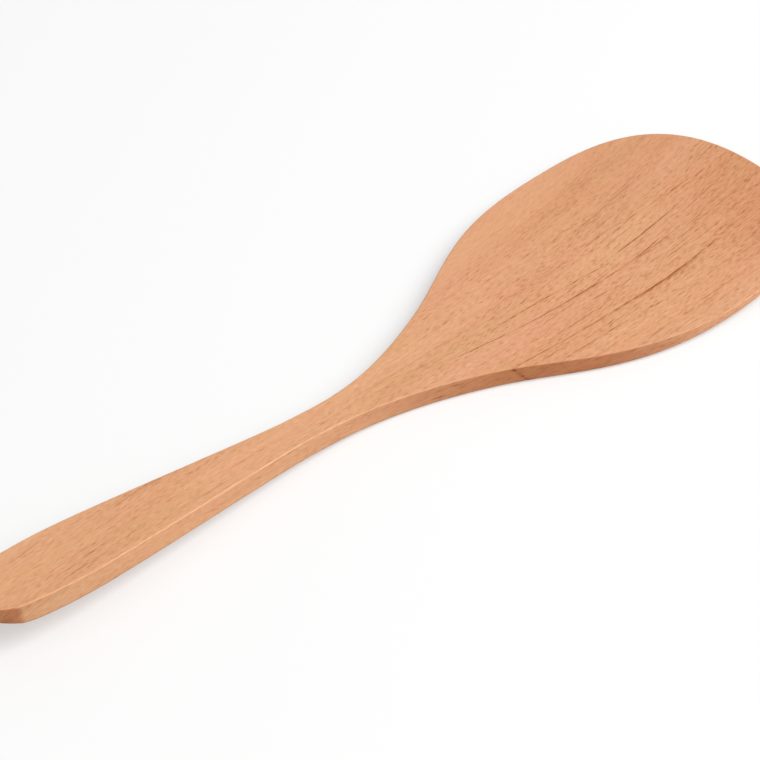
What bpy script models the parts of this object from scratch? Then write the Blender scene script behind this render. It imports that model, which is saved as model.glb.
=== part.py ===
"""Wooden spatula, sawn and sanded out of one piece of beech.

The handle, the narrow neck and the wide blade are one solid. It lies along X with the blade
towards +X and the face that meets the food upwards. Lengths are measured from the neck, the
narrowest place, and the finished piece stands with the centre of its box over the origin.
"""
import math

import bmesh
import bpy

# Plan of the blank, in metres
HANDLE_LENGTH = 0.115
BLADE_LENGTH = 0.185
NECK_WIDTH = 0.012
BLADE_WIDTH = 0.096
WIDEST_TO_TIP = 0.050
NECK_TO_SHOULDER = 0.060
SHOULDER_WIDTH = 0.040
SHOULDER_ANGLE = math.radians(26.5)
HANDLE_WIDTH = 0.025

# Butt end: a shallow arc whose corners are clipped back from the sides
END_DEPTH = 0.010
CORNER_INSET = 0.0014
CORNER_TO_WIDEST = 0.020
CORNER_SIDE_ANGLE = math.radians(9)
CORNER_END_ANGLE = math.radians(31)

# Fullness of the plan's curves: how far each curve runs straight on from its knot, as a
# part of the run to the next knot
END_FULLNESS = 0.6
CORNER_FULLNESS = 0.3
HANDLE_FULLNESS = 0.21
NECK_TO_HANDLE_FULLNESS = 0.15
NECK_TO_BLADE_FULLNESS = 0.22
SHOULDER_TO_NECK_FULLNESS = 0.57
SHOULDER_TO_BLADE_FULLNESS = 0.31
WIDEST_TO_SHOULDER_FULLNESS = 0.52
WIDEST_TO_TIP_FULLNESS = 0.39
TIP_FULLNESS = 0.93

# Side view: a flat belly, a handle that rises towards its end and an upturned tip
FLAT_START = 0.040
FLAT_LENGTH = 0.040
HANDLE_ANGLE = math.radians(4.0)
HANDLE_BEND_LENGTH = 0.030
TIP_RISE = 0.0073
END_RELIEF = 0.0038
END_RELIEF_LENGTH = 0.018

# Thickness at the butt, at the neck, where the blade starts to thin, where it starts to thin
# faster towards the working edge, at its widest and at the tip
HANDLE_THICKNESS = 0.0080
NECK_THICKNESS = 0.0072
BLADE_THICKNESS = 0.0065
TAPER_THICKNESS = 0.0054
WIDEST_THICKNESS = 0.0029
TIP_THICKNESS = 0.0016
THINNING_START = 0.060
TAPER_START = 0.100

# Rounded edges
TOP_ARRIS = 0.0005
TOP_ARRIS_SEGMENTS = 2
UNDER_ARRIS = 0.0016
UNDER_ARRIS_SEGMENTS = 3

# Fineness of the mesh
CURVE_STEPS = 12
CUT_SPACING = 0.005
WELD = 0.00002
SHARP_ANGLE = math.radians(30)

BEECH_COLOUR = (0.72, 0.37, 0.20, 1.0)
BEECH_ROUGHNESS = 0.55

CENTRE_FROM_NECK = (BLADE_LENGTH - HANDLE_LENGTH) / 2
WIDEST_PLACE = BLADE_LENGTH - WIDEST_TO_TIP
FLAT_END = FLAT_START + FLAT_LENGTH


def clear_scene():
    for item in list(bpy.data.objects):
        bpy.data.objects.remove(item, do_unlink=True)


def collection_named(name):
    group = bpy.data.collections.new(name)
    bpy.context.scene.collection.children.link(group)
    return group


def wood_material():
    material = bpy.data.materials.new("beech")
    material.use_nodes = True
    shader = material.node_tree.nodes["Principled BSDF"]
    shader.inputs["Base Color"].default_value = BEECH_COLOUR
    shader.inputs["Roughness"].default_value = BEECH_ROUGHNESS
    shader.inputs["Metallic"].default_value = 0.0
    return material


def step(point, angle, distance):
    """The point reached from another by going a distance at an angle to the length."""
    return (point[0] + distance * math.cos(angle), point[1] + distance * math.sin(angle))


def half_plan():
    """Knots of the far half of the plan, butt to tip, each with its two handle points."""
    end = (-HANDLE_LENGTH, 0.0)
    corner = (-HANDLE_LENGTH + END_DEPTH, HANDLE_WIDTH / 2 - CORNER_INSET)
    side = (corner[0] + CORNER_TO_WIDEST, HANDLE_WIDTH / 2)
    neck = (0.0, NECK_WIDTH / 2)
    shoulder = (NECK_TO_SHOULDER, SHOULDER_WIDTH / 2)
    widest = (WIDEST_PLACE, BLADE_WIDTH / 2)
    tip = (BLADE_LENGTH, 0.0)

    side_run = side[0] - corner[0]
    handle_run = neck[0] - side[0]
    shoulder_run = shoulder[0] - neck[0]
    blade_run = widest[0] - shoulder[0]
    tip_run = tip[0] - widest[0]
    across = math.radians(90)
    back = math.radians(180)

    end_pull = END_FULLNESS * corner[1]
    corner_pull = CORNER_FULLNESS * corner[1]
    tip_pull = TIP_FULLNESS * widest[1]
    return [
        (end, step(end, -across, end_pull), step(end, across, end_pull)),
        (corner,
         step(corner, CORNER_END_ANGLE + back, corner_pull),
         step(corner, CORNER_SIDE_ANGLE, CORNER_FULLNESS * side_run)),
        (side,
         step(side, back, CORNER_FULLNESS * side_run),
         step(side, 0.0, HANDLE_FULLNESS * handle_run)),
        (neck,
         step(neck, back, NECK_TO_HANDLE_FULLNESS * handle_run),
         step(neck, 0.0, NECK_TO_BLADE_FULLNESS * shoulder_run)),
        (shoulder,
         step(shoulder, SHOULDER_ANGLE + back, SHOULDER_TO_NECK_FULLNESS * shoulder_run),
         step(shoulder, SHOULDER_ANGLE, SHOULDER_TO_BLADE_FULLNESS * blade_run)),
        (widest,
         step(widest, back, WIDEST_TO_SHOULDER_FULLNESS * blade_run),
         step(widest, 0.0, WIDEST_TO_TIP_FULLNESS * tip_run)),
        (tip, step(tip, across, tip_pull), step(tip, -across, tip_pull)),
    ]


def mirrored(point):
    return (point[0], -point[1])


def whole_plan():
    """The far half, then the near half back to the butt, with its handle points swapped."""
    far = half_plan()
    near = [(mirrored(knot), mirrored(after), mirrored(before))
            for knot, before, after in reversed(far[1:-1])]
    return far + near


def end_relief(x):
    """How far the underside is cut away near the butt."""
    into = (-HANDLE_LENGTH + END_RELIEF_LENGTH - x) / END_RELIEF_LENGTH
    return END_RELIEF * max(into, 0.0) ** 2


def underside(x):
    """Height of the underside at a distance from the neck."""
    if x > FLAT_END:
        return TIP_RISE * ((x - FLAT_END) / (BLADE_LENGTH - FLAT_END)) ** 2
    back = max(FLAT_START - x, 0.0)
    if back < HANDLE_BEND_LENGTH:
        lift = back ** 2 / (2 * HANDLE_BEND_LENGTH)
    else:
        lift = back - HANDLE_BEND_LENGTH / 2
    return math.tan(HANDLE_ANGLE) * lift + end_relief(x)


def thickness(x):
    """Thickness of the wood at a distance from the neck."""
    stations = [(-HANDLE_LENGTH, HANDLE_THICKNESS), (0.0, NECK_THICKNESS),
                (THINNING_START, BLADE_THICKNESS), (TAPER_START, TAPER_THICKNESS),
                (WIDEST_PLACE, WIDEST_THICKNESS), (BLADE_LENGTH, TIP_THICKNESS)]
    for (x0, t0), (x1, t1) in zip(stations, stations[1:]):
        if x <= x1:
            break
    share = min(max((x - x0) / (x1 - x0), 0.0), 1.0)
    return t0 + share * (t1 - t0) - end_relief(x)


def lying_at(items, height):
    """The edges or faces whose corners all lie at a height."""
    return [item for item in items if all(abs(vert.co.z - height) < WELD for vert in item.verts)]


def sawn_blank(group):
    """A flat board cut to the plan, as one mesh lying on z = 0."""
    plan = whole_plan()
    curve = bpy.data.curves.new("plan", "CURVE")
    curve.dimensions = "2D"
    curve.fill_mode = "BOTH"
    curve.extrude = HANDLE_THICKNESS / 2
    curve.resolution_u = CURVE_STEPS
    spline = curve.splines.new("BEZIER")
    spline.bezier_points.add(len(plan) - 1)
    spline.use_cyclic_u = True
    for bezier, (knot, before, after) in zip(spline.bezier_points, plan):
        bezier.handle_left_type = "FREE"
        bezier.handle_right_type = "FREE"
        bezier.co = (*knot, 0.0)
        bezier.handle_left = (*before, 0.0)
        bezier.handle_right = (*after, 0.0)
    guide = bpy.data.objects.new("plan", curve)
    group.objects.link(guide)
    bpy.context.view_layer.update()
    evaluated = guide.evaluated_get(bpy.context.evaluated_depsgraph_get())
    mesh = bpy.data.meshes.new_from_object(evaluated)
    bpy.data.objects.remove(guide, do_unlink=True)
    bpy.data.curves.remove(curve)

    board = bmesh.new()
    board.from_mesh(mesh)
    bpy.data.meshes.remove(mesh)
    bmesh.ops.remove_doubles(board, verts=board.verts, dist=WELD)
    bmesh.ops.translate(board, verts=board.verts, vec=(0.0, 0.0, HANDLE_THICKNESS / 2))
    bmesh.ops.recalc_face_normals(board, faces=board.faces)
    for height in (0.0, HANDLE_THICKNESS):
        bmesh.ops.dissolve_faces(board, faces=lying_at(board.faces, height))
    return board


def round_edges(board):
    """Rounds the upper edge a little and the lower edge more."""
    for height, radius, segments in ((HANDLE_THICKNESS, TOP_ARRIS, TOP_ARRIS_SEGMENTS),
                                     (0.0, UNDER_ARRIS, UNDER_ARRIS_SEGMENTS)):
        bmesh.ops.bevel(board, geom=lying_at(board.edges, height), offset=radius,
                        offset_type="OFFSET", segments=segments, profile=0.5,
                        affect="EDGES", clamp_overlap=True)


def cut_places():
    """Distances from the neck where the side view bends, so that each strip stays flat."""
    places = [0.0, THINNING_START, TAPER_START, WIDEST_PLACE, FLAT_START, FLAT_END]
    curved = [(-HANDLE_LENGTH, -HANDLE_LENGTH + END_RELIEF_LENGTH),
              (FLAT_START - HANDLE_BEND_LENGTH, FLAT_START),
              (FLAT_END, BLADE_LENGTH)]
    for start, end in curved:
        count = max(2, round((end - start) / CUT_SPACING))
        places += [start + (end - start) * number / count for number in range(count + 1)]
    return sorted(places)


def shape_side_view(board):
    """Bends the board to the side view and planes it to its thickness."""
    for x in cut_places():
        bmesh.ops.bisect_plane(board, geom=board.verts[:] + board.edges[:] + board.faces[:],
                               dist=WELD, plane_co=(x, 0.0, 0.0), plane_no=(1.0, 0.0, 0.0))
    for vert in board.verts:
        x = vert.co.x
        share = vert.co.z / HANDLE_THICKNESS
        vert.co.z = underside(x) + share * thickness(x)
        vert.co.x = x - CENTRE_FROM_NECK
    bmesh.ops.remove_doubles(board, verts=board.verts, dist=WELD)


def make_spatula(group):
    board = sawn_blank(group)
    round_edges(board)
    shape_side_view(board)
    mesh = bpy.data.meshes.new("spatula")
    board.to_mesh(mesh)
    board.free()
    mesh.materials.append(wood_material())
    mesh.shade_smooth()
    mesh.set_sharp_from_angle(angle=SHARP_ANGLE)
    spatula = bpy.data.objects.new("spatula", mesh)
    group.objects.link(spatula)
    return spatula


clear_scene()
make_spatula(collection_named("wooden_spatula"))
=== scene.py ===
"""Looks of the wooden spatula: the finely shaped wood, its finish, a pale floor, light and a camera.

The spatula is one piece of beech. Lengths are in metres, and along the piece they are measured
from the neck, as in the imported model's own plan. The wood's pattern is drawn in millimetres from
the middle of the piece.
"""

import math

import bmesh
import bpy
from mathutils import Matrix, Vector, noise
from mathutils.geometry import interpolate_bezier


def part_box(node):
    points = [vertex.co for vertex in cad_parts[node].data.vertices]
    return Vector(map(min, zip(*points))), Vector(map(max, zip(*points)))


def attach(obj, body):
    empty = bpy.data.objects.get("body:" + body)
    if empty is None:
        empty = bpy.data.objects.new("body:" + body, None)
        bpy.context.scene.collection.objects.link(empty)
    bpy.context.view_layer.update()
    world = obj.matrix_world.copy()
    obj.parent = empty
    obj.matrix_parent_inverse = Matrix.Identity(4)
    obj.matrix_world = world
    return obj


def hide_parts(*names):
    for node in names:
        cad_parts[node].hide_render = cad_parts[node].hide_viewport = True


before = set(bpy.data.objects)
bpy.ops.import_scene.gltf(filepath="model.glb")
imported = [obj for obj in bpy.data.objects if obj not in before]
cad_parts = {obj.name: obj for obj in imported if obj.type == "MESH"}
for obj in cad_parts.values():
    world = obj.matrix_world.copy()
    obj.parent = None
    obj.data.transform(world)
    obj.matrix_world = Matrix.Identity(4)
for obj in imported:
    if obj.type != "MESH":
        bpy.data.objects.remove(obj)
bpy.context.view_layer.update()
wood_low, wood_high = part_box("spatula")

# Plan: the length and the blade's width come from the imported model
HANDLE_LENGTH = 0.115
NECK_X = wood_low.x + HANDLE_LENGTH
BLADE_LENGTH = wood_high.x - NECK_X
BLADE_WIDTH = wood_high.y - wood_low.y
NECK_WIDTH = 0.012
WIDEST_TO_TIP = 0.050
WIDEST_PLACE = BLADE_LENGTH - WIDEST_TO_TIP
NECK_TO_SHOULDER = 0.060
SHOULDER_WIDTH = 0.040
SHOULDER_ANGLE = math.radians(26.5)
HANDLE_WIDTH = 0.025

# Butt end: a shallow arc whose corners are clipped back from the sides
END_DEPTH = 0.010
CORNER_INSET = 0.0014
CORNER_TO_WIDEST = 0.020
CORNER_SIDE_ANGLE = math.radians(9)
CORNER_END_ANGLE = math.radians(31)

# How far each curve of the plan runs straight on from its knot, as a part of the run
END_FULLNESS = 0.6
CORNER_FULLNESS = 0.3
HANDLE_FULLNESS = 0.21
NECK_TO_HANDLE_FULLNESS = 0.15
NECK_TO_BLADE_FULLNESS = 0.22
SHOULDER_TO_NECK_FULLNESS = 0.57
SHOULDER_TO_BLADE_FULLNESS = 0.31
WIDEST_TO_SHOULDER_FULLNESS = 0.52
WIDEST_TO_TIP_FULLNESS = 0.39
TIP_FULLNESS = 0.93

# Side view: a flat belly, a handle that rises towards its end and an upturned tip
FLAT_START = 0.040
FLAT_END = 0.080
HANDLE_ANGLE = math.radians(4.0)
HANDLE_BEND_LENGTH = 0.030
TIP_RISE = 0.0073
END_RELIEF = 0.0038
END_RELIEF_LENGTH = 0.018

# Thickness at the butt, at the neck, where the blade starts to thin, where it starts to thin
# faster, at its widest and at the tip, and how far sanding eases the bends between them
HANDLE_THICKNESS = 0.0080
NECK_THICKNESS = 0.0072
BLADE_THICKNESS = 0.0065
TAPER_THICKNESS = 0.0054
WIDEST_THICKNESS = 0.0029
TIP_THICKNESS = 0.0016
THINNING_START = 0.060
TAPER_START = 0.100
THICKNESS_EASING = 0.008
EASING_PARTS = (-1.0, -0.5, 0.0, 0.5, 1.0)

# Rounded edges, with a narrow band of wood kept beside each
TOP_ARRIS = 0.0005
UNDER_ARRIS = 0.0016
ARRIS_SEGMENTS = 5
ARRIS_PROFILE = 0.5
EDGE_BAND = 0.0002

# Fineness of the mesh
OUTLINE_SPACING = 0.0012
FEWEST_STEPS = 4
LENGTH_SPACING = 0.002
WIDTH_SPACING = 0.003
SAME_HEIGHT = 0.00001
SMOOTH_ANGLE = math.radians(35)

# How far sanding by hand strays from the drawing, and a seed for each of the two faces
SANDING_DEPTH = 0.00004
SANDING_WAVE = 0.022
UNDER_SANDING = 1.0
TOP_SANDING = 2.0

# How far a surface turns from the fibres, as the sine, where the end grain starts and is full
END_GRAIN_START = 0.12
END_GRAIN_FULL = 0.5

# Camera, as the photograph was taken
PICTURE_SIZE = 760
NECK_IN_PICTURE = (303.3, 451.2)
VIEW_AZIMUTH = math.radians(33.21)
VIEW_ELEVATION = math.radians(40.20)
VIEW_ROLL = math.radians(-8.13)
VIEW_DISTANCE = 0.7895
LENS_MM = 125.0
SENSOR_MM = 36.0
CAMERA_REACH = 20.0

# Light and floor
FLOOR_SIZE = 6.0
FLOOR_DROP = 0.0001
FLOOR_SHADE = 0.55
FLOOR_SEEN_LEVEL = 1.0
SKY_LEVEL = 0.5
KEY_DIRECTION = Vector((0.34, -0.43, 0.55))
KEY_DISTANCE = 2.5
KEY_SIZE = 2.0
KEY_LEVEL = 0.95


def step(point, angle, distance):
    """The point reached from another by going a distance at an angle to the length."""
    return (point[0] + distance * math.cos(angle), point[1] + distance * math.sin(angle))


def half_plan():
    """Knots of the far half of the plan, butt to tip, each with its two handle points."""
    end = (-HANDLE_LENGTH, 0.0)
    corner = (-HANDLE_LENGTH + END_DEPTH, HANDLE_WIDTH / 2 - CORNER_INSET)
    side = (corner[0] + CORNER_TO_WIDEST, HANDLE_WIDTH / 2)
    neck = (0.0, NECK_WIDTH / 2)
    shoulder = (NECK_TO_SHOULDER, SHOULDER_WIDTH / 2)
    widest = (WIDEST_PLACE, BLADE_WIDTH / 2)
    tip = (BLADE_LENGTH, 0.0)

    side_run = side[0] - corner[0]
    handle_run = neck[0] - side[0]
    shoulder_run = shoulder[0] - neck[0]
    blade_run = widest[0] - shoulder[0]
    tip_run = tip[0] - widest[0]
    across = math.radians(90)
    back = math.radians(180)

    end_pull = END_FULLNESS * corner[1]
    corner_pull = CORNER_FULLNESS * corner[1]
    tip_pull = TIP_FULLNESS * widest[1]
    return [
        (end, step(end, -across, end_pull), step(end, across, end_pull)),
        (corner,
         step(corner, CORNER_END_ANGLE + back, corner_pull),
         step(corner, CORNER_SIDE_ANGLE, CORNER_FULLNESS * side_run)),
        (side,
         step(side, back, CORNER_FULLNESS * side_run),
         step(side, 0.0, HANDLE_FULLNESS * handle_run)),
        (neck,
         step(neck, back, NECK_TO_HANDLE_FULLNESS * handle_run),
         step(neck, 0.0, NECK_TO_BLADE_FULLNESS * shoulder_run)),
        (shoulder,
         step(shoulder, SHOULDER_ANGLE + back, SHOULDER_TO_NECK_FULLNESS * shoulder_run),
         step(shoulder, SHOULDER_ANGLE, SHOULDER_TO_BLADE_FULLNESS * blade_run)),
        (widest,
         step(widest, back, WIDEST_TO_SHOULDER_FULLNESS * blade_run),
         step(widest, 0.0, WIDEST_TO_TIP_FULLNESS * tip_run)),
        (tip, step(tip, across, tip_pull), step(tip, -across, tip_pull)),
    ]


def outline():
    """Closely spaced points along the whole plan, butt to tip and back."""
    knots = half_plan()
    far = []
    for (start, _, leaving), (stop, arriving, _) in zip(knots, knots[1:]):
        count = max(FEWEST_STEPS, round(math.dist(start, stop) / OUTLINE_SPACING))
        curve = interpolate_bezier(*(Vector((*p, 0.0)) for p in (start, leaving, arriving, stop)),
                                   count + 1)
        far += [(point.x, point.y) for point in curve[:-1]]
    far.append(knots[-1][0])
    near = [(x, -y) for x, y in reversed(far[1:-1])]
    return far + near


def end_relief(x):
    """How far the underside is cut away near the butt."""
    into = (-HANDLE_LENGTH + END_RELIEF_LENGTH - x) / END_RELIEF_LENGTH
    return END_RELIEF * max(into, 0.0) ** 2


def underside(x):
    """Height of the underside at a distance from the neck."""
    if x > FLAT_END:
        return TIP_RISE * ((x - FLAT_END) / (BLADE_LENGTH - FLAT_END)) ** 2
    back = max(FLAT_START - x, 0.0)
    if back < HANDLE_BEND_LENGTH:
        lift = back ** 2 / (2 * HANDLE_BEND_LENGTH)
    else:
        lift = back - HANDLE_BEND_LENGTH / 2
    return math.tan(HANDLE_ANGLE) * lift + end_relief(x)


def planed_thickness(x):
    """Thickness between the stations where it is given, in straight runs."""
    stations = [(-HANDLE_LENGTH, HANDLE_THICKNESS), (0.0, NECK_THICKNESS),
                (THINNING_START, BLADE_THICKNESS), (TAPER_START, TAPER_THICKNESS),
                (WIDEST_PLACE, WIDEST_THICKNESS), (BLADE_LENGTH, TIP_THICKNESS)]
    for (x0, t0), (x1, t1) in zip(stations, stations[1:]):
        if x <= x1:
            break
    share = min(max((x - x0) / (x1 - x0), 0.0), 1.0)
    return t0 + share * (t1 - t0)


def thickness(x):
    """Thickness of the wood, with the bends between its straight runs eased by sanding."""
    places = [x + THICKNESS_EASING * part for part in EASING_PARTS]
    room = min(x + HANDLE_LENGTH, BLADE_LENGTH - x)
    if room < THICKNESS_EASING:
        places = [x]
    return sum(planed_thickness(place) for place in places) / len(places) - end_relief(x)


def pick_only(piece):
    bpy.ops.object.select_all(action="DESELECT")
    piece.select_set(True)
    bpy.context.view_layer.objects.active = piece


def select_where(piece, kind, test):
    """Selects just the edges or faces of the piece in edit mode that pass a test."""
    bpy.ops.mesh.select_mode(type="EDGE" if kind == "edges" else "FACE")
    bpy.ops.mesh.select_all(action="DESELECT")
    shape = bmesh.from_edit_mesh(piece.data)
    for item in getattr(shape, kind):
        if test(item):
            item.select_set(True)
    shape.select_flush_mode()
    bmesh.update_edit_mesh(piece.data)


def lies_at(height):
    """A test for edges or faces whose corners are all at a height."""
    return lambda item: all(abs(vert.co.z - height) < SAME_HEIGHT for vert in item.verts)


def cut(place, direction):
    bpy.ops.mesh.bisect(plane_co=place, plane_no=direction)


def steps(start, stop, spacing):
    """Evenly spaced places between two limits, without the limits."""
    count = round((stop - start) / spacing)
    return [start + (stop - start) * number / count for number in range(1, count)]


def sanding(place, seed):
    """How deep the sandpaper went at a place, from nothing to its full depth."""
    depth = noise.noise(Vector((place.x, place.y, seed)) / SANDING_WAVE)
    return SANDING_DEPTH * (0.5 + 0.5 * depth)


def sawn_board():
    """A thick flat board cut to the plan, with its edges rounded and its faces cut into a net."""
    points = outline()
    bpy.ops.mesh.primitive_circle_add(vertices=len(points), radius=BLADE_WIDTH / 2, fill_type="NGON")
    board = bpy.context.object
    for vert, (x, y) in zip(board.data.vertices, points):
        vert.co = (x, y, 0.0)
    bpy.ops.object.mode_set(mode="EDIT")
    bpy.ops.mesh.select_all(action="SELECT")
    bpy.ops.mesh.extrude_region_move(TRANSFORM_OT_translate={"value": (0.0, 0.0, HANDLE_THICKNESS)})
    bpy.ops.mesh.select_all(action="SELECT")
    bpy.ops.mesh.normals_make_consistent(inside=False)
    for height, radius in ((HANDLE_THICKNESS, TOP_ARRIS), (0.0, UNDER_ARRIS)):
        select_where(board, "edges", lies_at(height))
        bpy.ops.mesh.bevel(offset_type="OFFSET", offset=radius, segments=ARRIS_SEGMENTS,
                           profile=ARRIS_PROFILE, affect="EDGES")
        select_where(board, "faces", lies_at(height))
        bpy.ops.mesh.inset(thickness=EDGE_BAND)
    for height in (UNDER_ARRIS + EDGE_BAND, HANDLE_THICKNESS - TOP_ARRIS - EDGE_BAND):
        bpy.ops.mesh.select_all(action="SELECT")
        cut((0.0, 0.0, height), (0.0, 0.0, 1.0))
    for x in steps(-HANDLE_LENGTH, BLADE_LENGTH, LENGTH_SPACING):
        bpy.ops.mesh.select_all(action="SELECT")
        cut((x, 0.0, 0.0), (1.0, 0.0, 0.0))
    for y in steps(-BLADE_WIDTH / 2, BLADE_WIDTH / 2, WIDTH_SPACING):
        for height in (0.0, HANDLE_THICKNESS):
            select_where(board, "faces", lies_at(height))
            cut((0.0, y, 0.0), (0.0, 1.0, 0.0))
    bpy.ops.object.mode_set(mode="OBJECT")
    return board


def store_surface_kinds(piece):
    """Stores where the surface cuts the fibres off and where the upper edge is rounded, from 0 to 1; the
    rounded upper edge takes a painted highlight.
    """
    end_grain = piece.data.attributes.new("end_grain", "FLOAT", "POINT")
    upper_edge = piece.data.attributes.new("upper_edge", "FLOAT", "POINT")
    for vert, across, edge in zip(piece.data.vertices, end_grain.data, upper_edge.data):
        turned = (abs(vert.normal.x) - END_GRAIN_START) / (END_GRAIN_FULL - END_GRAIN_START)
        across.value = min(max(turned, 0.0), 1.0)
        upright = max(vert.normal.z, 0.0) ** 2
        edge.value = 4.0 * upright * (1.0 - upright)


def make_spatula():
    """The finely shaped spatula: the board bent to the side view, planed and sanded."""
    spatula = sawn_board()
    spatula.name = "beech_spatula"
    for vert in spatula.data.vertices:
        x = vert.co.x
        share = vert.co.z / HANDLE_THICKNESS
        low = underside(x)
        high = low + thickness(x)
        if low > SAME_HEIGHT:
            low += sanding(vert.co, UNDER_SANDING)
        high -= sanding(vert.co, TOP_SANDING)
        vert.co.z = low + share * (high - low)
        vert.co.x = x + NECK_X
    pick_only(spatula)
    bpy.ops.object.shade_smooth_by_angle(angle=SMOOTH_ANGLE)
    store_surface_kinds(spatula)
    return spatula


class Wire:
    """An output of a shader node that sums can be written with."""

    def __init__(self, bench, socket):
        self.bench = bench
        self.socket = socket

    def __add__(self, other):
        return self.bench.maths("ADD", self, other)

    def __sub__(self, other):
        return self.bench.maths("SUBTRACT", self, other)

    def __rsub__(self, other):
        return self.bench.maths("SUBTRACT", other, self)

    def __mul__(self, other):
        return self.bench.maths("MULTIPLY", self, other)

    def __truediv__(self, other):
        return self.bench.maths("DIVIDE", self, other)

    __radd__ = __add__
    __rmul__ = __mul__


# The places of the colour sockets on a mix node, whose names its other sockets share
FIRST_COLOUR = 6
SECOND_COLOUR = 7
MIXED_COLOUR = 2


class Bench:
    """The node tree of one material or of the world."""

    def __init__(self, owner):
        owner.use_nodes = True
        self.tree = owner.node_tree
        self.tree.nodes.clear()

    def node(self, kind, settings, inputs):
        """Adds a node, makes its settings, and sets or links its sockets."""
        made = self.tree.nodes.new(kind)
        for name, value in settings.items():
            if name == "stops":
                self.place_stops(made.color_ramp, value)
            else:
                setattr(made, name, value)
        for name, value in inputs.items():
            if isinstance(value, Wire):
                self.tree.links.new(value.socket, made.inputs[name])
            else:
                made.inputs[name].default_value = value
        return made

    def place_stops(self, ramp, stops):
        while len(ramp.elements) < len(stops):
            ramp.elements.new(1.0)
        for element, (position, colour) in zip(ramp.elements, stops):
            element.position = position
            element.color = colour

    def wire(self, kind, settings, inputs, output=0):
        return Wire(self, self.node(kind, settings, inputs).outputs[output])

    def maths(self, operation, first, second=0.0):
        return self.wire("ShaderNodeMath", {"operation": operation}, {0: first, 1: second})

    def clamped(self, value):
        return self.wire("ShaderNodeClamp", {}, {"Value": value})

    def ease(self, value, start, stop):
        """Rises smoothly from 0 at the start to 1 at the stop."""
        return self.wire("ShaderNodeMapRange", {"interpolation_type": "SMOOTHSTEP"},
                         {"Value": value, "From Min": start, "From Max": stop})

    def cloud(self, place, detail):
        """A soft noise, about 0 to 1, with one wave in a unit of length."""
        return self.wire("ShaderNodeTexNoise", {"noise_dimensions": "3D"},
                         {"Vector": place, "Scale": 1.0, "Detail": detail, "Roughness": 0.5})

    def mixed(self, share, first, second, blend="MIX"):
        """Two colours mixed by a share, which also says how much of a blend to use."""
        return self.wire("ShaderNodeMix", {"data_type": "RGBA", "blend_type": blend},
                         {"Factor": share, FIRST_COLOUR: first, SECOND_COLOUR: second}, MIXED_COLOUR)

    def tinted(self, colour, share, tint):
        return self.mixed(share, colour, tint, "MULTIPLY")

    def finish(self, kind, shader):
        self.node(kind, {}, {"Surface": shader})


def grey(level):
    return (level, level, level, 1.0)


def srgb(red, green, blue):
    """A colour from its three 0 to 255 values, which the sRGB curve turns into levels of light."""
    levels = []
    for value in (red, green, blue):
        level = value / 255
        levels.append(level / 12.92 if level <= 0.04045 else ((level + 0.055) / 1.055) ** 2.4)
    return (*levels, 1.0)


# The wood's pattern is in millimetres from the middle of the piece. Here is the path of a fibre
# along it, how the fibres spread towards the tip, how far they wander, and the rays' tilt
MILLIMETRES = 1000.0
FIBRE_SLOPE = 0.02
FIBRE_CURVE = 0.00037
FIBRE_TURN = 0.0000031
FIBRE_SPREAD = 0.0021
FIBRE_WANDER = 1.2
WANDER_SIZE = (40.0, 12.0, 12.0)
WANDER_DETAIL = 1.0
RAY_TILT = math.radians(-35)

# Soft noises: the size of a wave, first along the fibres and then twice across them in the
# rays' turned axes, how much finer detail it has, and its seed
SHORT_RIDGES = ((2.4, 6.0, 0.28), 1.0, 9.0)
FIBRES = ((10.0, 4.0, 0.24), 2.0, 4.0)
STREAKS = ((40.0, 5.0, 1.1), 2.0, 5.0)
THREADS = ((30.0, 8.0, 0.4), 1.0, 10.0)
BANDS = ((110.0, 16.0, 7.0), 1.0, 6.0)
HUES = ((50.0, 12.0, 6.0), 2.0, 7.0)
GLOWS = ((60.0, 14.0, 6.0), 2.0, 11.0)
DENSITY = ((60.0, 14.0, 9.0), 1.0, 8.0)
RING_WAVES = ((14.0, 6.0, 6.0), 1.0, 4.0)
RING_BREAKS = ((8.0, 4.0, 1.0), 1.0, 6.0)

# How far each unit of a seed moves the pattern
SEED_SHIFT = (17.0, 5.0, 3.0)

# Cells that hold a dash each, with their size in the same axes and their seed
DARK_DASHES = ((3.0, 8.0, 0.28), 1.0)
LIGHT_DASHES = ((3.0, 8.0, 0.3), 3.0)

# Where a dash starts to fade and where it ends, from its middle, and the faintest one's strength
DASH_CORE = 0.1
DASH_EDGE = 0.5
FAINTEST_DASH = 0.3

# The wood's colours, from dark to light
TONES = [(0.0, srgb(120, 62, 28)), (0.25, srgb(176, 108, 66)), (0.5, srgb(221, 158, 115)),
         (0.75, srgb(237, 178, 136)), (1.0, srgb(250, 200, 162))]

# How much each mark lightens or darkens the wood, from its plain tone
PLAIN_TONE = 0.545
LIGHT_DASH_TONE = 0.14
DARK_DASH_TONE = 0.24
RIDGE_TONE = 0.42
FIBRE_TONE = 0.24
THREAD_TONE = 0.14
STREAK_TONE = 0.14
BAND_TONE = 0.26
RING_TONE = 0.36
SIDE_MARK_TONE = 0.35
PALE_TONE = 0.035
# Painted highlight on the rounded upper edge, lighter where that edge would catch the light
PAINTED_EDGE_HIGHLIGHT = 0.05

# Where along or across the piece a change starts and where it is full
PALE_NECK = (10.0, 80.0)
QUIET_SIDE = (8.0, 30.0)
REDDENING = (-20.0, 100.0)
RED_TIP = (105.0, 140.0)
RED_TIP_SIDE = (2.0, 20.0)

# Levels of a soft noise at which a mark starts to show and at which it shows in full
THREAD_LEVELS = (0.08, 0.26)
DENSITY_LEVELS = (-0.25, 0.2)
BREAK_LEVELS = (-0.22, 0.1)

# What is left of the dark dashes where they are sparse and of a ring line where it breaks, and
# how much of the fine pattern is lost at the quiet side
SPARSE_DASHES = 0.6
BROKEN_RINGS = 0.4
QUIETED = 0.4

# Hue: its plain share, its change towards the tip and its change from place to place
PLAIN_HUE = 0.3
TIP_HUE = 0.25
PLAIN_GLOW = 0.45
PATCH_CHANGE = 1.7

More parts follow.
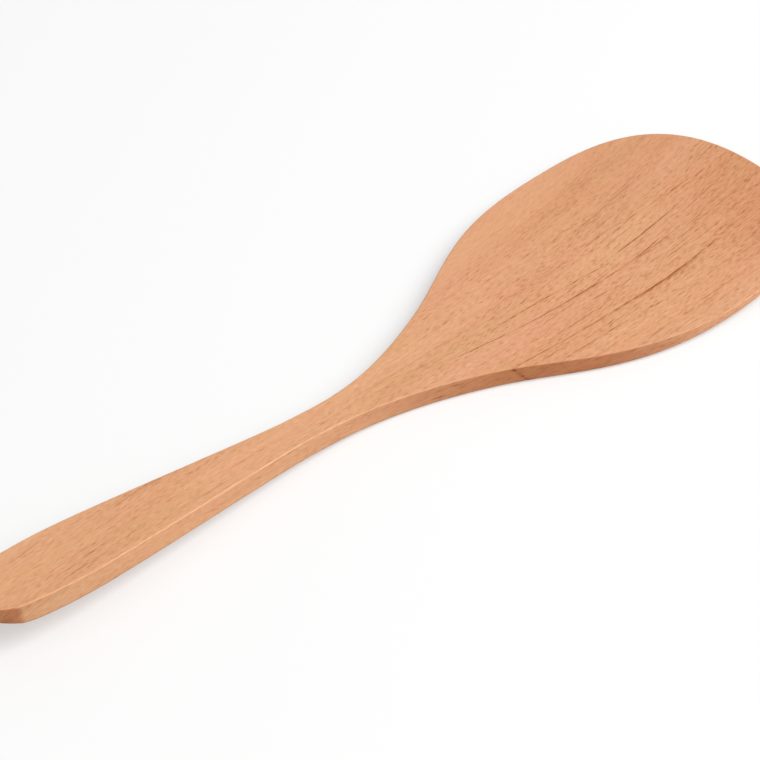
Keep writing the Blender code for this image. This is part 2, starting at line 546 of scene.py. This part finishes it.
# Gloss, and the relief that the fibres, the dark dashes and the rings leave in the sanded wood
PLAIN_ROUGHNESS = 0.5
MARK_ROUGHNESS = 0.12
FIBRE_ROUGHNESS = 0.1
FIBRE_RELIEF = 0.3
MARK_RELIEF = 0.8
RING_RELIEF = 0.5
BUMP_STRENGTH = 0.25
BUMP_DEPTH = 0.0001
SPECULAR_LEVEL = 0.35

# Growth rings: how far they lean across with height, and the height and the place along the
# piece at which they are laid out
RING_LEAN = 0.4
RING_TOP = 6.2
RING_MIDDLE = 60.0

# The soft shade beside each ring line, the waves in the line, and how slowly its ends fade
RING_SHADE = 0.8
RING_SHADE_TONE = 0.22
RING_WAVINESS = 0.5
RING_START_FADE = 6.0
RING_STOP_FADE = 8.0

# The ring lines, among which the short ones are rows of open pores
RINGS = [
    # across, slope, bend, from, to, width, strength
    (-3.0, -0.006, -0.00026, 38.0, 84.0, 0.17, 0.9),
    (-9.0, -0.005, 0.00172, 22.0, 108.0, 0.17, 1.0),
    (-4.1, 0.099, 0.0, 92.0, 118.0, 0.2, 1.25),
    (-22.8, 0.002, 0.00088, 26.0, 122.0, 0.34, 0.5),
    (-23.1, 0.002, 0.00088, 80.0, 112.0, 0.9, 0.5),
    (-29.2, 0.005, -0.00018, 44.0, 92.0, 0.17, 0.8),
    (0.0, -0.046, 0.0, 18.0, 42.0, 0.17, 0.5),
    (11.1, -0.045, 0.0, 96.0, 130.0, 0.2, 0.4),
    (0.1, 0.125, 0.0, 110.0, 130.0, 0.2, 0.6),
    (-12.5, 0.041, 0.0, 105.0, 120.0, 0.2, 0.55),
    (-15.7, 0.036, 0.0, 100.0, 112.0, 0.2, 0.6),
    (-13.2, -0.05, 0.0, 66.0, 78.0, 0.2, 0.5),
    (-37.3, 0.0, 0.0, 91.0, 108.0, 0.2, 0.5),
]

# Small dark marks on the near side
SIDE_MARKS = [
    # along, height, length, thickness, strength
    (-15.5, 6.0, 1.0, 0.3, 0.6),
    (7.2, 2.3, 2.2, 0.35, 0.9),
    (13.4, 5.0, 1.5, 0.35, 0.9),
    (14.8, 3.8, 1.4, 0.6, 0.4),
    (25.0, 3.3, 1.8, 0.6, 0.3),
    (29.6, 5.6, 0.7, 0.5, 0.9),
]

# Tints: greener to redder, yellower to pinker, at the rings, at the tip and on end grain
HUE_TINTS = ((0.985, 1.03, 1.0, 1.0), (1.015, 0.97, 1.0, 1.0))
GLOW_TINTS = ((1.0, 1.0, 0.95, 1.0), (1.0, 1.0, 1.05, 1.0))
RING_TINT = (1.0, 0.92, 0.82, 1.0)
TIP_TINT = (0.94, 0.86, 0.82, 1.0)
END_GRAIN_TINT = (0.84, 0.66, 0.51, 1.0)


class Wood:
    """The beech's pattern: where the fibres run, and the marks that lie along them."""

    def __init__(self, bench):
        self.bench = bench
        place = bench.wire("ShaderNodeTexCoord", {}, {}, "Object")
        spot = bench.wire("ShaderNodeVectorMath", {"operation": "SCALE"},
                          {0: place, "Scale": MILLIMETRES})
        axes = bench.node("ShaderNodeSeparateXYZ", {}, {"Vector": spot})
        self.along = Wire(bench, axes.outputs["X"])
        self.width = Wire(bench, axes.outputs["Y"])
        self.height = Wire(bench, axes.outputs["Z"])
        path = self.along * (FIBRE_SLOPE + self.along * (FIBRE_CURVE + FIBRE_TURN * self.along))
        wander = bench.cloud(self.stretched(spot, WANDER_SIZE), WANDER_DETAIL) - 0.5
        across = (self.width - path + FIBRE_WANDER * wander) / (1.0 + FIBRE_SPREAD * self.along)
        self.grain = bench.wire("ShaderNodeCombineXYZ", {},
                                {"X": self.along, "Y": across, "Z": self.height})

    def stretched(self, place, size, seed=0.0):
        """The place in the rays' turned axes, in units of a cell's length, width and thickness."""
        start = tuple(seed * shift for shift in SEED_SHIFT)
        return self.bench.wire("ShaderNodeMapping", {"vector_type": "TEXTURE"},
                               {"Vector": place, "Location": start,
                                "Rotation": (RAY_TILT, 0.0, 0.0), "Scale": size})

    def streaks(self, size, detail, seed):
        """Soft streaks of a size along the fibres, from about -0.5 to 0.5."""
        return self.bench.cloud(self.stretched(self.grain, size, seed), detail) - 0.5

    def dashes(self, size, seed):
        """Spindle-shaped marks, each with a strength of its own, from 0 to 1."""
        bench = self.bench
        cells = bench.node("ShaderNodeTexVoronoi", {"voronoi_dimensions": "3D", "feature": "F1"},
                           {"Vector": self.stretched(self.grain, size, seed), "Scale": 1.0})
        near = 1.0 - bench.ease(Wire(bench, cells.outputs["Distance"]), DASH_CORE, DASH_EDGE)
        split = bench.node("ShaderNodeSeparateColor", {}, {"Color": Wire(bench, cells.outputs["Color"])})
        return near * (FAINTEST_DASH + (1.0 - FAINTEST_DASH) * Wire(bench, split.outputs["Red"]))

    def ring_lines(self):
        """The dark edges of the growth rings, each with a soft shade on its nearer side."""
        bench = self.bench
        waves = self.streaks(*RING_WAVES)
        across = self.width - RING_LEAN * (self.height - RING_TOP) + RING_WAVINESS * waves
        run = self.along - RING_MIDDLE
        lines = 0.0
        for offset, slope, bend, start, stop, width, strength in RINGS:
            away = across - (offset + slope * run + bend * run * run)
            core = bench.maths("EXPONENT", -1.0 * (away * away) / (width * width))
            fading = bench.maths("EXPONENT", bench.maths("MINIMUM", away, 0.0) / RING_SHADE)
            shade = fading * bench.maths("LESS_THAN", away, 0.0)
            begun = bench.ease(self.along, start - RING_START_FADE, start + RING_START_FADE)
            ended = bench.ease(self.along, stop - RING_STOP_FADE, stop + RING_STOP_FADE)
            reach = begun * (1.0 - ended)
            lines = lines + (core + RING_SHADE_TONE * shade) * reach * strength
        whole = bench.ease(self.streaks(*RING_BREAKS), *BREAK_LEVELS)
        return lines * (BROKEN_RINGS + (1.0 - BROKEN_RINGS) * whole)

    def side_marks(self):
        """Small dark marks on the near side of the neck and the shoulder."""
        bench = self.bench
        marks = 0.0
        for place, middle, length, thickness, strength in SIDE_MARKS:
            along = (self.along - place) / length
            up = (self.height - middle) / thickness
            marks = marks + bench.maths("EXPONENT", -1.0 * (along * along + up * up)) * strength
        return marks * bench.maths("LESS_THAN", self.width, 0.0)


def beech():
    """Bare sanded beech: straight fine flecks, long ring lines and soft bands of colour."""
    material = bpy.data.materials.new("beech")
    bench = Bench(material)
    wood = Wood(bench)
    dark = wood.dashes(*DARK_DASHES)
    light = wood.dashes(*LIGHT_DASHES)
    ridges = wood.streaks(*SHORT_RIDGES)
    fibres = wood.streaks(*FIBRES)
    streaks = wood.streaks(*STREAKS)
    threads = bench.ease(wood.streaks(*THREADS), *THREAD_LEVELS)
    bands = wood.streaks(*BANDS)
    hue = wood.streaks(*HUES)
    glow = wood.streaks(*GLOWS)
    density = bench.ease(wood.streaks(*DENSITY), *DENSITY_LEVELS)
    lines = wood.ring_lines()
    figure = 1.0 - QUIETED * bench.ease(wood.width, *QUIET_SIDE)

    marks = dark * (SPARSE_DASHES + (1.0 - SPARSE_DASHES) * density)
    fine = figure * (LIGHT_DASH_TONE * light - DARK_DASH_TONE * marks + RIDGE_TONE * ridges
                     + FIBRE_TONE * fibres - THREAD_TONE * threads)
    pale = 1.0 - bench.ease(wood.along, *PALE_NECK)
    # A painted highlight along the rounded upper edge of the handle and neck, fading out along the blade
    upper_edge = bench.wire("ShaderNodeAttribute", {"attribute_name": "upper_edge"}, {}, "Fac")
    tone = (PLAIN_TONE + fine + STREAK_TONE * streaks + BAND_TONE * bands - RING_TONE * lines
            - SIDE_MARK_TONE * wood.side_marks() + pale * (PALE_TONE + PAINTED_EDGE_HIGHLIGHT * upper_edge))
    colour = bench.wire("ShaderNodeValToRGB", {"stops": TONES}, {"Fac": bench.clamped(tone)})
    redder = PLAIN_HUE + TIP_HUE * bench.ease(wood.along, *REDDENING) + PATCH_CHANGE * hue
    pinker = PLAIN_GLOW + PATCH_CHANGE * glow
    for share, tints in ((redder, HUE_TINTS), (pinker, GLOW_TINTS)):
        colour = bench.tinted(colour, 1.0, bench.mixed(bench.clamped(share), *tints))
    colour = bench.tinted(colour, bench.clamped(lines), RING_TINT)
    tip = bench.ease(wood.along, *RED_TIP) * (1.0 - bench.ease(wood.width, *RED_TIP_SIDE))
    colour = bench.tinted(colour, tip, TIP_TINT)
    end_grain = bench.wire("ShaderNodeAttribute", {"attribute_name": "end_grain"}, {}, "Fac")
    colour = bench.tinted(colour, end_grain, END_GRAIN_TINT)
    roughness = PLAIN_ROUGHNESS + MARK_ROUGHNESS * marks + FIBRE_ROUGHNESS * fibres
    height = FIBRE_RELIEF * fibres - MARK_RELIEF * marks - RING_RELIEF * lines
    bump = bench.wire("ShaderNodeBump", {},
                      {"Strength": BUMP_STRENGTH, "Distance": BUMP_DEPTH, "Height": height})
    shader = bench.wire("ShaderNodeBsdfPrincipled", {},
                        {"Base Color": colour, "Roughness": roughness,
                         "Specular IOR Level": SPECULAR_LEVEL, "Normal": bump})
    bench.finish("ShaderNodeOutputMaterial", shader)
    return material


def seen_rays(bench):
    """1 for rays that show the surroundings, in view or in a reflection, and 0 for the rest."""
    path = bench.node("ShaderNodeLightPath", {}, {})
    kinds = [Wire(bench, path.outputs[name])
             for name in ("Is Camera Ray", "Is Glossy Ray", "Is Transmission Ray")]
    return bench.clamped(kinds[0] + kinds[1] + kinds[2])


def make_floor():
    """A pale floor that looks nearly white and still takes the spatula's shadow."""
    bpy.ops.object.select_all(action="DESELECT")
    bpy.ops.mesh.primitive_plane_add(size=FLOOR_SIZE, location=(0.0, 0.0, -FLOOR_DROP))
    floor = bpy.context.object
    floor.name = "floor"
    material = bpy.data.materials.new("pale_floor")
    bench = Bench(material)
    shaded = bench.wire("ShaderNodeBsdfDiffuse", {}, {"Color": grey(FLOOR_SHADE)})
    glow = bench.wire("ShaderNodeEmission", {},
                      {"Color": grey(1.0), "Strength": (FLOOR_SEEN_LEVEL - FLOOR_SHADE) * seen_rays(bench)})
    both = bench.wire("ShaderNodeAddShader", {}, {0: shaded, 1: glow})
    bench.finish("ShaderNodeOutputMaterial", both)
    floor.data.materials.append(material)


def make_light():
    """A bright even sky, which looks white, and one large soft lamp from the front right."""
    world = bpy.data.worlds.new("sky")
    bpy.context.scene.world = world
    bench = Bench(world)
    seen = seen_rays(bench)
    sky = bench.wire("ShaderNodeBackground", {}, {"Strength": SKY_LEVEL + (1.0 - SKY_LEVEL) * seen})
    bench.finish("ShaderNodeOutputWorld", sky)
    place = KEY_DIRECTION.normalized() * KEY_DISTANCE
    bpy.ops.object.light_add(type="AREA", location=place)
    lamp = bpy.context.object
    lamp.rotation_euler = place.to_track_quat("Z", "Y").to_euler()
    lamp.data.shape = "DISK"
    lamp.data.size = KEY_SIZE
    # The power at which a white surface facing a small lamp would render at this level
    lamp.data.energy = KEY_LEVEL * (math.pi * KEY_DISTANCE) ** 2


def make_camera():
    """The photograph's camera, from its direction, its roll and where it shows the neck."""
    flat = Vector((math.sin(VIEW_AZIMUTH), math.cos(VIEW_AZIMUTH), 0.0))
    look = flat * math.cos(VIEW_ELEVATION) - Vector((0.0, 0.0, math.sin(VIEW_ELEVATION)))
    level = Vector((math.cos(VIEW_AZIMUTH), -math.sin(VIEW_AZIMUTH), 0.0))
    upright = level.cross(look)
    right = level * math.cos(VIEW_ROLL) + upright * math.sin(VIEW_ROLL)
    up = upright * math.cos(VIEW_ROLL) - level * math.sin(VIEW_ROLL)
    pixel = VIEW_DISTANCE * SENSOR_MM / (LENS_MM * PICTURE_SIZE)
    aside = (NECK_IN_PICTURE[0] - PICTURE_SIZE / 2) * pixel
    above = (PICTURE_SIZE / 2 - NECK_IN_PICTURE[1]) * pixel
    place = Vector((NECK_X, 0.0, 0.0)) - aside * right - above * up - VIEW_DISTANCE * look
    bpy.ops.object.camera_add()
    camera = bpy.context.object
    turn = Matrix((right, up, -look)).transposed()
    camera.matrix_world = Matrix.Translation(place) @ turn.to_4x4()
    camera.data.lens = LENS_MM
    camera.data.sensor_width = SENSOR_MM
    camera.data.clip_end = CAMERA_REACH
    bpy.context.scene.camera = camera


bpy.context.scene.view_settings.view_transform = "Standard"
bpy.ops.object.select_all(action="DESELECT")
spatula = make_spatula()
spatula.data.materials.append(beech())
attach(spatula, "root")
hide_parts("spatula")
make_floor()
make_light()
make_camera()
